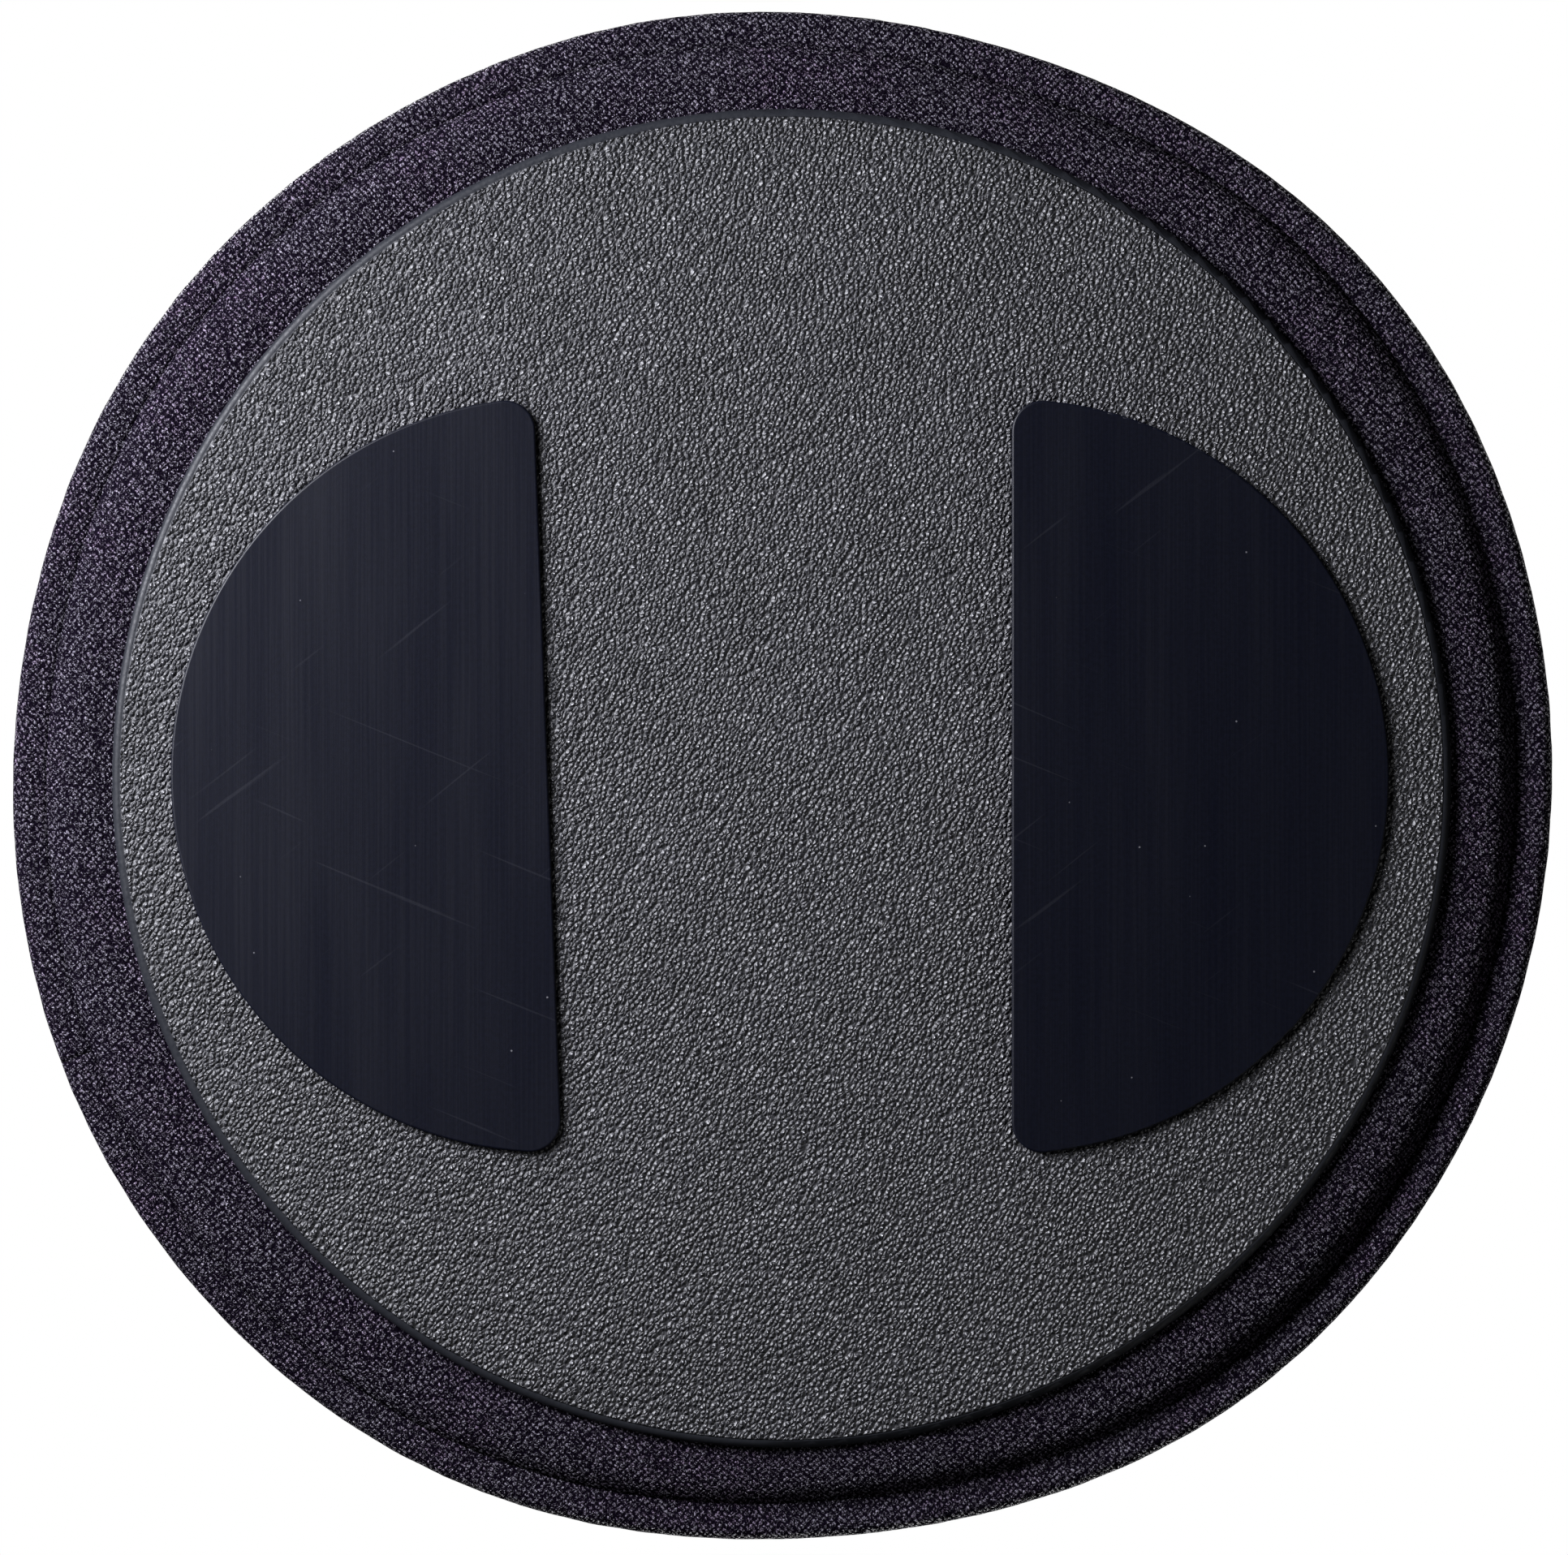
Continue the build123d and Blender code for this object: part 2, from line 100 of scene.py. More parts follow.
# The foam's clearances under the cover, at its seams and behind the zip
FOAM_GAP = 1.5 * MM
FOAM_SEAM_GAP = 3.4 * MM
FOAM_ZIP_GAP = 5.2 * MM

# The zip's coil and tapes
COIL_PITCH = 1.45 * MM
COIL_WIRE = 0.28 * MM
COIL_BULGE = 0.45 * MM
COIL_REACH = 0.45 * MM
TAPE_DEPTH = 1.12 * MM
TAPE_THICK = 0.42 * MM
TAPE_WIDTH = 8.7 * MM
TAPE_BEND = 17.0 * MM
TAPE_UNROLLED = 193 * MM

# The camera looks straight up at the underside
CAMERA_DISTANCE = 1.5
FRAME_WIDTH = 0.3974
SENSOR = 36.0


# ---------------------------------------------------------------- node helpers


class Shader:
    """Wires the nodes of one material."""

    def __init__(self, name):
        self.material = bpy.data.materials.new(name)
        self.material.use_nodes = True
        self.tree = self.material.node_tree
        self.bsdf = self.tree.nodes["Principled BSDF"]

    def node(self, kind, inputs=None, **settings):
        made = self.tree.nodes.new(kind)
        for key, value in settings.items():
            setattr(made, key, value)
        for key, value in (inputs or {}).items():
            self.put(made.inputs[key], value)
        return made

    def put(self, socket, value):
        if isinstance(value, bpy.types.NodeSocket):
            self.tree.links.new(value, socket)
        else:
            socket.default_value = value

    def set(self, **sockets):
        for key, value in sockets.items():
            self.put(self.bsdf.inputs[key.replace("_", " ")], value)

    def math(self, operation, a, b=0.0):
        return self.node("ShaderNodeMath", {0: a, 1: b}, operation=operation).outputs[0]

    def scaled(self, vector, factor):
        """A vector or a colour times a number."""
        return self.node("ShaderNodeVectorMath", {0: vector, "Scale": factor}, operation="SCALE").outputs[0]

    def channels(self, texture):
        """The three random numbers that a cell texture gives each cell."""
        return self.node("ShaderNodeSeparateColor", {"Color": texture.outputs["Color"]}).outputs

    def smooth(self, value, low, high, out_low=0.0, out_high=1.0):
        """A smooth step from one output to another."""
        made = self.node(
            "ShaderNodeMapRange",
            {"Value": value, "From Min": low, "From Max": high, "To Min": out_low, "To Max": out_high},
            interpolation_type="SMOOTHSTEP",
        )
        return made.outputs["Result"]

    def blend(self, share, a, b):
        """A mix of two colours."""
        made = self.node("ShaderNodeMix", data_type="RGBA")
        self.put(made.inputs[0], share)
        self.put(made.inputs[6], a)
        self.put(made.inputs[7], b)
        return made.outputs[2]

    def millimetres(self, turn=0.0, stretch=(1.0, 1.0, 1.0), uv=None):
        """The piece's own coordinates, in millimetres, turned about Z and then stretched."""
        if uv:
            source = self.node("ShaderNodeUVMap", uv_map=uv).outputs["UV"]
        else:
            source = self.node("ShaderNodeTexCoord").outputs["Object"]
        turned = self.node(
            "ShaderNodeMapping",
            {"Vector": source, "Rotation": (0, 0, math.radians(turn))},
        ).outputs[0]
        scale = [1000.0 * s for s in stretch]
        return self.node("ShaderNodeMapping", {"Vector": turned, "Scale": scale}).outputs[0]

    def noise(self, vector, scale, detail=2.0, rough=0.5, output="Fac"):
        inputs = {"Vector": vector, "Scale": scale, "Detail": detail, "Roughness": rough}
        return self.node("ShaderNodeTexNoise", inputs).outputs[output]

    def cells(self, vector, scale, feature="F1", randomness=1.0, flat=False):
        inputs = {"Vector": vector, "Scale": scale, "Randomness": randomness}
        dimensions = "2D" if flat else "3D"
        return self.node("ShaderNodeTexVoronoi", inputs, feature=feature, voronoi_dimensions=dimensions)

    def warp(self, vector, scale, amount):
        """The coordinates pushed about by noise."""
        colour = self.noise(vector, scale, 2.0, 0.5, "Color")
        centred = self.node(
            "ShaderNodeVectorMath", {0: colour, 1: (0.5, 0.5, 0.5)}, operation="SUBTRACT"
        ).outputs[0]
        return self.node("ShaderNodeVectorMath", {0: vector, 1: self.scaled(centred, amount)}).outputs[0]

    def bump(self, height, depth, under=None):
        """A bump of one height field, in metres deep, on top of another bump."""
        inputs = {"Height": height, "Distance": depth}
        if under:
            inputs["Normal"] = under
        return self.node("ShaderNodeBump", inputs).outputs[0]


# ---------------------------------------------------------------- materials


def fabric(name, painted_shade, yarn, tint):
    """A napped knit: tangled glossy strands standing on rows of loops, over gaps painted near-black as
    painted shade.
    """
    s = Shader(name)
    knit = s.millimetres(uv="weave", turn=45)
    rows = s.millimetres(uv="weave", turn=45, stretch=(1 / 1.1, 1 / 1.4, 1.0))
    loop = s.cells(s.warp(rows, 0.8, 0.35), 1.0, randomness=0.45, flat=True)
    clump = s.smooth(loop.outputs["Distance"], 0.15, 0.62, 1.0, 0.3)
    tangle = s.warp(knit, 1.1, 0.8)
    tip = s.cells(tangle, 1.5, flat=True)
    bead = s.smooth(tip.outputs["Distance"], 0.1, 0.62, 1.0, 0.0)
    curl = s.noise(tangle, 1.1, 1.0)
    ridge = s.math("ABSOLUTE", s.math("SUBTRACT", curl, 0.5))
    strand = s.smooth(ridge, 0.0, 0.07, 1.0, 0.0)
    tall = s.smooth(s.channels(tip)[0], 0.0, 1.0, 0.3, 1.0)
    pile = s.math("MAXIMUM", s.math("MULTIPLY", bead, tall), s.math("MULTIPLY", strand, 0.8))
    height = s.math("MULTIPLY", pile, clump)
    drift = s.smooth(s.noise(knit, 0.03, 3.0), 0.35, 0.65)
    colour = s.blend(s.math("MULTIPLY", drift, s.channels(loop)[1]), yarn, tint)
    # Painted shade: the base colour goes to near-black where the pile is low, between the loops and
    # strands.
    s.set(Base_Color=s.blend(s.smooth(height, 0.2, 0.75), painted_shade, colour))
    fibres = s.bump(s.noise(knit, 7.0, 2.0), 0.05 * MM)
    s.set(Normal=s.bump(height, 0.95 * MM, fibres))
    s.set(Roughness=s.smooth(height, 0.1, 0.9, 0.6, 0.34))
    s.set(Specular_IOR_Level=s.smooth(height, 0.2, 0.8, 0.0, 1.0))
    return s.material


def grained_plastic(name, base, rim):
    """Moulded haircell grain: leaning, shiny pebbles with painted shade along the creases. The rolled rim
    is plain.
    """
    s = Shader(name)
    lean = s.millimetres(turn=57, stretch=(0.74, 1.0, 1.0))
    pushed = s.warp(lean, 0.55, 1.1)
    pebble = s.cells(pushed, 0.98, flat=True)
    creases = s.cells(pushed, 0.98, feature="DISTANCE_TO_EDGE", flat=True)
    dome = s.smooth(pebble.outputs["Distance"], 0.0, 0.8, 1.0, 0.0)
    valley = s.smooth(creases.outputs["Distance"], 0.0, 0.2)
    tall = s.smooth(s.channels(pebble)[0], 0.0, 1.0, 0.55, 1.0)
    small = s.noise(lean, 1.5, 2.0, 0.6)
    crease = s.smooth(valley, 0.0, 1.0, 0.62, 1.0)
    rounded = s.math("MULTIPLY", s.math("MULTIPLY", dome, crease), tall)
    height = s.math("ADD", rounded, s.math("MULTIPLY", small, 0.4))
    raw = s.node("ShaderNodeTexCoord").outputs["Object"]
    level = s.node("ShaderNodeVectorMath", {0: raw, 1: (1, 1, 0)}, operation="MULTIPLY").outputs[0]
    radius = s.node("ShaderNodeVectorMath", {0: level}, operation="LENGTH").outputs["Value"]
    on_face = s.smooth(radius, rim - 0.35 * MM, rim, 1.0, 0.0)
    wear = s.noise(s.millimetres(), 0.03, 4.0, 0.6)
    worn = s.smooth(wear, 0.35, 0.65, 0.78, 1.12)
    # Painted shade: the colour goes to near-black along the creases between the pebbles.
    colour = s.blend(s.math("MULTIPLY", valley, 0.9), (0.012, 0.012, 0.013, 1), base)
    s.set(Base_Color=s.blend(on_face, (0.014, 0.015, 0.018, 1), s.scaled(colour, worn)))
    along_rim = s.bump(s.noise(s.millimetres(), 0.35, 3.0), 0.12 * MM)
    s.set(Normal=s.bump(s.math("MULTIPLY", height, on_face), 0.76 * MM, along_rim))
    s.set(Roughness=s.smooth(height, 0.1, 1.1, 0.5, 0.3))
    s.set(Specular_IOR_Level=s.smooth(on_face, 0.0, 1.0, 0.16, 0.75))
    return s.material


def grip_rubber(name, base):
    """Smooth sheet rubber with faint straight die lines, long scuffs and specks of dust."""
    s = Shader(name)
    plain = s.millimetres()
    lines = s.noise(s.millimetres(stretch=(1.6, 0.012, 1.0)), 1.0, 3.0, 0.6)
    broad = s.noise(s.millimetres(stretch=(0.06, 0.008, 1.0)), 1.0, 2.0)
    scuff_field = s.noise(s.millimetres(turn=38, stretch=(0.012, 0.33, 1.0)), 1.0, 2.0, 0.7)
    scuff = s.smooth(scuff_field, 0.66, 0.72)
    arc_field = s.noise(s.warp(s.millimetres(turn=-22, stretch=(0.01, 0.5, 1.0)), 0.4, 1.6), 1.0, 2.0)
    arc = s.smooth(arc_field, 0.69, 0.73)
    speck_cells = s.cells(plain, 0.16)
    near = s.smooth(speck_cells.outputs["Distance"], 0.02, 0.05, 1.0, 0.0)
    speck = s.math("MULTIPLY", near, s.smooth(s.channels(speck_cells)[1], 0.6, 0.62))
    mottle = s.noise(plain, 0.9, 4.0, 0.65)
    shade = s.smooth(mottle, 0.3, 0.7, 0.82, 1.2)
    marked = s.math("MULTIPLY", s.math("MAXIMUM", scuff, arc), 0.08)
    body = s.blend(marked, s.scaled(base[:3], shade), (0.05, 0.052, 0.062, 1))
    s.set(Base_Color=s.blend(speck, body, (0.12, 0.12, 0.13, 1)))
    rough = s.math("ADD", s.smooth(broad, 0.3, 0.7, 0.36, 0.42), s.math("MULTIPLY", marked, 0.4))
    s.set(Roughness=s.math("ADD", rough, s.smooth(lines, 0.4, 0.62, 0.0, 0.05)))
    fine = s.bump(s.noise(plain, 5.0, 2.0), 0.012 * MM)
    s.set(Normal=s.bump(lines, 0.016 * MM, fine))
    s.set(Specular_IOR_Level=0.2)
    return s.material


def moulded_plastic(name, base, rough=0.45):
    """Plain moulded plastic with a little orange peel and fine scratches."""
    s = Shader(name)
    peel = s.noise(s.millimetres(), 1.4, 3.0)
    scratch = s.smooth(s.noise(s.millimetres(turn=31, stretch=(0.05, 2.5, 1)), 1.0, 2.0), 0.62, 0.7)
    s.set(Base_Color=s.blend(s.math("MULTIPLY", scratch, 0.25), base, (0.5, 0.5, 0.5, 1)))
    s.set(Roughness=s.smooth(peel, 0.3, 0.7, rough - 0.06, rough + 0.08))
    s.set(Normal=s.bump(peel, 0.03 * MM))
    return s.material


def metal(name, base, rough=0.32, enamel=False):
    """Turned or cast metal, bare or under black enamel that has worn through in spots."""
    s = Shader(name)
    grain = s.noise(s.millimetres(stretch=(0.3, 4.0, 1.0)), 1.0, 3.0)
    wear = s.smooth(s.noise(s.millimetres(), 0.7, 5.0, 0.7), 0.62, 0.68)
    bare = (0.55, 0.54, 0.52, 1)
    if enamel:
        s.set(Base_Color=s.blend(wear, base, bare), Metallic=wear)
    else:
        s.set(Base_Color=s.blend(s.smooth(grain, 0.3, 0.7), base, bare), Metallic=1.0)
    s.set(Roughness=s.smooth(grain, 0.3, 0.7, rough - 0.05, rough + 0.1))
    s.set(Normal=s.bump(grain, 0.02 * MM))
    return s.material


def plywood(name):
    """Birch ply: long grain on the faces, with fine streaks of deeper-brown pores."""
    s = Shader(name)
    rings = s.noise(s.warp(s.millimetres(stretch=(0.01, 0.22, 1.0)), 0.6, 0.5), 1.0, 5.0, 0.6)
    pores = s.smooth(s.noise(s.millimetres(stretch=(0.12, 2.8, 1.0)), 1.0, 2.0), 0.6, 0.66)
    wood = s.blend(s.smooth(rings, 0.35, 0.65), (0.62, 0.46, 0.29, 1), (0.48, 0.33, 0.19, 1))
    s.set(Base_Color=s.blend(s.math("MULTIPLY", pores, 0.5), wood, (0.2, 0.12, 0.06, 1)))
    s.set(Roughness=s.smooth(rings, 0.3, 0.7, 0.5, 0.65))
    s.set(Normal=s.bump(pores, 0.06 * MM))
    return s.material


def foam(name, base, cell):
    """Open-cell foam, with painted shade in its pits."""
    s = Shader(name)
    pits = s.cells(s.millimetres(), 1.0 / cell)
    wall = s.smooth(pits.outputs["Distance"], 0.1, 0.6)
    # Painted shade: the middle of each pit is coloured at 0.55 of the foam's colour.
    painted_shade = tuple(c * 0.55 for c in base[:3]) + (1,)
    s.set(Base_Color=s.blend(wall, painted_shade, base))
    s.set(Roughness=s.smooth(wall, 0.0, 1.0, 0.95, 0.85))
    s.set(Normal=s.bump(wall, 0.3 * cell * MM))
    s.set(Subsurface_Weight=0.05)
    return s.material


def woven_tape(name, base):
    """Herringbone zip tape, with painted shade in the hollows of the weave."""
    s = Shader(name)
    flat = s.millimetres(uv="weave")
    parts = s.node("ShaderNodeSeparateXYZ", {"Vector": flat})
    across = s.math("PINGPONG", parts.outputs["Y"], 1.5)
    slant = s.math("ADD", parts.outputs["X"], across)
    rib = s.math("SINE", s.math("MULTIPLY", slant, 2 * math.pi / 0.7))
    pick = s.math("SINE", s.math("MULTIPLY", parts.outputs["Y"], 2 * math.pi / 0.45))
    height = s.math("ADD", s.math("MULTIPLY", rib, 0.35), s.math("MULTIPLY", pick, 0.15))
    # Painted shade: the colour goes to near-black where the weave is low.
    s.set(Base_Color=s.blend(s.smooth(height, -0.4, 0.4), (0.006, 0.006, 0.008, 1), base))
    s.set(Roughness=s.smooth(height, -0.4, 0.4, 0.85, 0.6))
    s.set(Normal=s.bump(height, 0.12 * MM))
    s.set(Sheen_Weight=0.15)
    return s.material


def dress(node, material):
    """Gives a CAD node one of this script's materials."""
    for slot in nodes[node].material_slots:
        slot.material = material


# ---------------------------------------------------------------- the cover's section


def bezier(start, first, second, end, count):
    """Evenly parameterised points on a cubic, the end left out."""
    t = np.linspace(0, 1, count, endpoint=False)[:, None]
    a, b, c, d = (np.array(p, float) for p in (start, first, second, end))
    return (1 - t) ** 3 * a + 3 * (1 - t) ** 2 * t * b + 3 * (1 - t) * t**2 * c + t**3 * d


def along(points):
    """Distance along a run of points."""
    steps = np.linalg.norm(np.diff(points, axis=0), axis=1)
    return np.concatenate([[0], np.cumsum(steps)])


def at_distance(points, distances):
    """Points at given distances along a run."""
    s = along(points)
    return np.stack([np.interp(distances, s, points[:, i]) for i in (0, 1)], axis=1)


def cover_rows():
    """The rows of the cover's section, as radius and height in metres, and where its seams are."""
    low_seam = np.array([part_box("bottom_panel")[1].x + LOW_SEAM_BEYOND, LOW_SEAM_HEIGHT])
    high_seam = np.array([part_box("top_panel")[1].x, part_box("side_band")[1].z])
    widest = np.array([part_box("side_band")[1].x, (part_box("side_band")[0].z + high_seam[1]) / 2])
    crown_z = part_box("top_panel")[1].z
    clamp_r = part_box("stiffener_board")[1].x
    clamp_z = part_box("stiffener_board")[0].z - FABRIC

    clamp = (clamp_r + 1.5 * MM, clamp_z)
    clamped = (HOLE_RADIUS, 90 * MM, 140 * MM, clamp_r - 3 * MM)
    flat = np.array([(radius, clamp_z) for radius in clamped])
    puff = bezier(clamp, (167.5 * MM, 3.4 * MM), (178.5 * MM, 1.6 * MM), low_seam, 120)
    puff = at_distance(puff, np.linspace(0, along(puff)[-1], 16)[:-1])

    roll_end = (widest[0] - 1.9 * MM, ROLL_TOP)
    roll = bezier(low_seam, (190.0 * MM, 6.0 * MM), (193.9 * MM, 3.4 * MM), roll_end, 120)
    wall = bezier(roll_end, (193.4 * MM, 18 * MM), (194.8 * MM, 22 * MM), widest, 60)
    shoulder = bezier(widest, (195.3 * MM, 34 * MM), (195.0 * MM, 43 * MM), high_seam, 160)
    side = np.concatenate([roll, wall, shoulder, high_seam[None]])
    slit_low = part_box("zip_band_lower")[1].z
    slit_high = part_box("zip_band_upper")[0].z
    s = along(side)
    upper_half = side[:, 1] > widest[1]
    s_low = np.interp(slit_low, side[upper_half, 1], s[upper_half])
    s_high = np.interp(slit_high, side[upper_half, 1], s[upper_half])
    stops = np.concatenate([
        np.linspace(0, s_low, ROWS_TO_SLIT + 1),
        np.linspace(s_low, s_high, ROWS_OF_SLIT + 1)[1:],
        np.linspace(s_high, s[-1], ROWS_TO_TOP + 1)[1:],
    ])
    side = at_distance(side, stops)

    rim = (RIM_RADIUS, RIM_HEIGHT)
    top_edge = bezier(high_seam, (186.3 * MM, 48.4 * MM), (182 * MM, 50.6 * MM), rim, 120)
    top_edge = at_distance(top_edge, np.linspace(0, along(top_edge)[-1], 11)[:-1])
    radii = np.linspace(RIM_RADIUS, CENTRE_RADIUS, 16)
    rise = (crown_z - RIM_HEIGHT) * (1 - (radii / RIM_RADIUS) ** 2)
    dome = np.stack([radii, RIM_HEIGHT + rise], axis=1)

    rows = np.concatenate([flat, puff, side, top_edge[1:], dome])
    seams = {"clamp": len(flat), "low": len(flat) + len(puff)}
    seams["slit_low"] = seams["low"] + ROWS_TO_SLIT
    seams["slit_high"] = seams["slit_low"] + ROWS_OF_SLIT
    seams["high"] = seams["slit_high"] + ROWS_TO_TOP
    return rows, seams


def outline(theta):
    """How far the hand-filled cushion's outline stands out from a true circle, in metres."""
    return sum(a * MM * np.cos(k * (theta - math.radians(peak))) for k, a, peak in OUTLINE)


def zip_outline(theta):
    """The outline along the zip: it follows the hollows but doesn't stand out."""
    out = outline(theta)
    soft = 0.15 * MM
    return (out - np.sqrt(out**2 + soft**2) + soft) / 2


def upper_outline(theta):
    """The outline of the cushion's upper half, which eases into the zip's at the back."""
    degrees = np.degrees(np.arctan2(np.sin(theta), np.cos(theta)))
    beyond = np.maximum(20.0 - degrees, degrees - 160.0) / 22.0
    ease = np.clip(beyond, 0, 1)
    ease = ease * ease * (3 - 2 * ease)
    return zip_outline(theta) * (1 - ease) + outline(theta) * ease


def ripple(theta, lowest, highest, count):
    """A smooth random wave around the cushion, about 1 high."""
    cycles = rng.integers(lowest, highest + 1, count)
    phases = rng.uniform(0, 2 * math.pi, count)
    waves = [np.cos(k * theta + p) for k, p in zip(cycles, phases)]
    return sum(waves) / math.sqrt(count / 2)


def grid_normals(points):
    """Outward unit normals of a grid of rows around the Z axis."""
    around = np.roll(points, -1, axis=1) - np.roll(points, 1, axis=1)
    up = np.gradient(points, axis=0)
    normal = np.cross(around, up)
    return normal / np.maximum(np.linalg.norm(normal, axis=2, keepdims=True), 1e-12)


def cover_grid(rows, seams):
    """The whole cover as a grid of points, before the cloth settles."""
    theta = np.arange(COLUMNS) * 2 * math.pi / COLUMNS
    s = along(rows)
    reach = np.clip((rows[:, 0] - 0.160) / 0.024, 0, 1)
    reach = reach * reach * (3 - 2 * reach)
    upper = np.clip((rows[:, 1] - 19 * MM) / (9 * MM), 0, 1)[:, None]
    out = outline(theta)[None] * (1 - upper) + upper_outline(theta)[None] * upper
    radius = rows[:, :1] + reach[:, None] * out
    points = np.stack([
        radius * np.cos(theta),
        radius * np.sin(theta),
        np.repeat(rows[:, 1:2], COLUMNS, axis=1),
    ], axis=2)
    normal = grid_normals(points)
    push = np.zeros(points.shape[:2])
    for seam, size in ((seams["low"], 0.3), (seams["high"], 0.7)):
        distance = np.abs(s - s[seam])
        near = (distance / PUCKER_REACH) * np.exp(1 - distance / PUCKER_REACH)
        push += size * PUCKER * near[:, None] * ripple(theta, 60, 130, 14)[None]
    lumps = [(seams["clamp"] + 8, 0.22, 7), (seams["low"] + 15, 0.10, 9), (seams["slit_high"], 0.14, 8)]
    for row, size, spread in lumps:
        near = np.exp(-(((s - s[row]) / (spread * MM)) ** 2))
        push += size * MM * near[:, None] * ripple(theta, 3, 16, 7)[None]
    slack = 0.5 + 0.5 * np.cos(theta - math.radians(GROOVE_AZIMUTH))
    groove = np.exp(-(((s - s[seams["low"]] - 0.2 * MM) / GROOVE_WIDTH) ** 2))
    push -= GROOVE_DEPTH * groove[:, None] * (slack**1.6 + 0.08 * ripple(theta, 4, 12, 6))[None]
    push[: seams["clamp"]] = 0
    return points + normal * push[:, :, None]


def quads(rows, columns):
    """The faces of a grid whose rows close round on themselves."""
    faces = []
    for i in range(rows - 1):
        for j in range(columns):
            k = (j + 1) % columns
            faces.append((i * columns + j, i * columns + k, (i + 1) * columns + k, (i + 1) * columns + j))
    return faces


def settle_cloth(points, seams):
    """Lets the cover settle over its foam as slightly oversized cloth under pressure, held at its seams."""
    rows, columns = points.shape[:2]
    mesh = bpy.data.meshes.new("settling")
    mesh.from_pydata(points.reshape(-1, 3).tolist(), [], quads(rows, columns))
    cloth = bpy.data.objects.new("settling", mesh)
    bpy.context.scene.collection.objects.link(cloth)
    held = cloth.vertex_groups.new(name="held")
    firm = np.full(rows, 0.55)
    firm[: seams["clamp"] + 1] = 1.0
    firm[seams["high"] :] = np.linspace(0.6, 0.92, rows - seams["high"])
    firm[seams["slit_low"] - 1 : seams["high"]] = 0.95
    for seam in (seams["low"], seams["high"]):
        firm[seam] = 1.0
    for row in range(rows):
        held.add(list(range(row * columns, (row + 1) * columns)), float(firm[row]), "REPLACE")
    modifier = cloth.modifiers.new("Cloth", "CLOTH")
    settings = modifier.settings
    settings.quality = 4
    settings.mass = 0.25
    settings.tension_stiffness = 25
    settings.compression_stiffness = 25
    settings.shear_stiffness = 8
    settings.bending_stiffness = 6.0
    settings.vertex_group_mass = "held"
    settings.pin_stiffness = 1.2
    settings.use_pressure = True
    settings.uniform_pressure_force = 4.0
    settings.shrink_min = -0.012
    settings.effector_weights.gravity = 0
    modifier.collision_settings.use_collision = False
    modifier.collision_settings.use_self_collision = False
    modifier.point_cache.frame_start = 1
    modifier.point_cache.frame_end = CLOTH_FRAMES
    scene = bpy.context.scene
    for number in range(1, CLOTH_FRAMES + 1):
        scene.frame_set(number)
    settled = cloth.evaluated_get(bpy.context.evaluated_depsgraph_get())
    found = np.empty(rows * columns * 3, np.float32)
    settled.data.vertices.foreach_get("co", found)
    moved = found.reshape(points.shape).astype(float) - points
    shifts = range(-CLOTH_SPREAD, CLOTH_SPREAD + 1)
    moved = sum(np.roll(moved, shift, axis=1) for shift in shifts) / len(shifts)
    length = np.linalg.norm(moved, axis=2, keepdims=True)
    moved *= np.minimum(1, CLOTH_CAP / np.maximum(length, 1e-9))
    scene.frame_set(1)
    bpy.data.objects.remove(cloth)
    return points + moved


# ---------------------------------------------------------------- meshes from grids


def link(name, vertices, faces, material, uvs=None):
    """A smooth-shaded mesh object from plain lists."""
    mesh = bpy.data.meshes.new(name)
    mesh.from_pydata([tuple(v) for v in vertices], [], faces)
    mesh.materials.append(material)
    mesh.polygons.foreach_set("use_smooth", [True] * len(mesh.polygons))
    if uvs is not None:
        layer = mesh.uv_layers.new(name="weave")
        corners = np.empty(len(mesh.loops), np.int32)
        mesh.loops.foreach_get("vertex_index", corners)
        layer.data.foreach_set("uv", np.asarray(uvs, np.float32)[corners].ravel())
    mesh.update()
    made = bpy.data.objects.new(name, mesh)
    bpy.context.scene.collection.objects.link(made)
    return made


def shell(name, outer, inner, wrap, material, uvs, cap=False):
    """A closed thin shell between two grids of points. With cap, its last row closes to a point."""
    rows, columns = outer.shape[:2]
    vertices = np.concatenate([outer.reshape(-1, 3), inner.reshape(-1, 3)])
    back = rows * columns
    faces = []
    spans = columns if wrap else columns - 1
    for i in range(rows - 1):
        for j in range(spans):
            k = (j + 1) % columns
            a, b, c, d = i * columns + j, i * columns + k, (i + 1) * columns + k, (i + 1) * columns + j
            faces.append((a, b, c, d))
            faces.append((back + d, back + c, back + b, back + a))
    for j in range(spans):
        k = (j + 1) % columns
        faces.append((j, back + j, back + k, k))
        if not cap:
            last = (rows - 1) * columns
            faces.append((last + k, back + last + k, back + last + j, last + j))
    if not wrap:
        for i in range(rows - 1):
            a, b = i * columns, (i + 1) * columns
            faces.append((a, b, back + b, back + a))
            c, d = a + columns - 1, b + columns - 1
            faces.append((c, back + c, back + d, d))
    uvs = np.concatenate([uvs.reshape(-1, 2)] * 2)
    if cap:
        last = (rows - 1) * columns
        tops = [outer[-1].mean(axis=0), inner[-1].mean(axis=0)]
        vertices = np.concatenate([vertices, tops])
        uvs = np.concatenate([uvs, [(0, 0), (0, 0)]])
        centre = 2 * rows * columns
        for j in range(columns):
            k = (j + 1) % columns
            faces.append((last + j, last + k, centre))
            faces.append((back + last + k, back + last + j, centre + 1))
    return link(name, vertices, faces, material, uvs)


